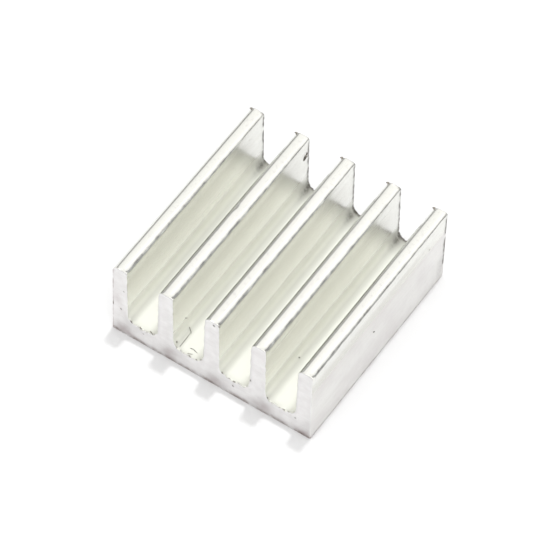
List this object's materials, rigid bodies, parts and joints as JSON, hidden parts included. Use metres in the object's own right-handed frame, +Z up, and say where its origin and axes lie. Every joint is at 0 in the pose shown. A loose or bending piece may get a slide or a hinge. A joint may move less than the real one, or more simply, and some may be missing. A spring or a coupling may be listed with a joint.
{
  "type": "extruded aluminium heat sink",
  "caption": "Small square extruded heat sink: a flat base with straight parallel fins and round-bottomed channels, sawn off a bar, bare mill finish.",
  "frame": {"origin": "middle of the flat underside of the base, which rests on z = 0", "axes": "+X across the fins, +Y along the fins, +Z up out of the base towards the fin tips"},
  "size_m": [0.014, 0.0144, 0.0062],
  "materials": {
    "bare_aluminium": "mill finish with fine die lines along the fins, sawn matte ends"
  },
  "bodies": {
    "root": {"heat_sink": "bare_aluminium"}
  },
  "joints": []
}
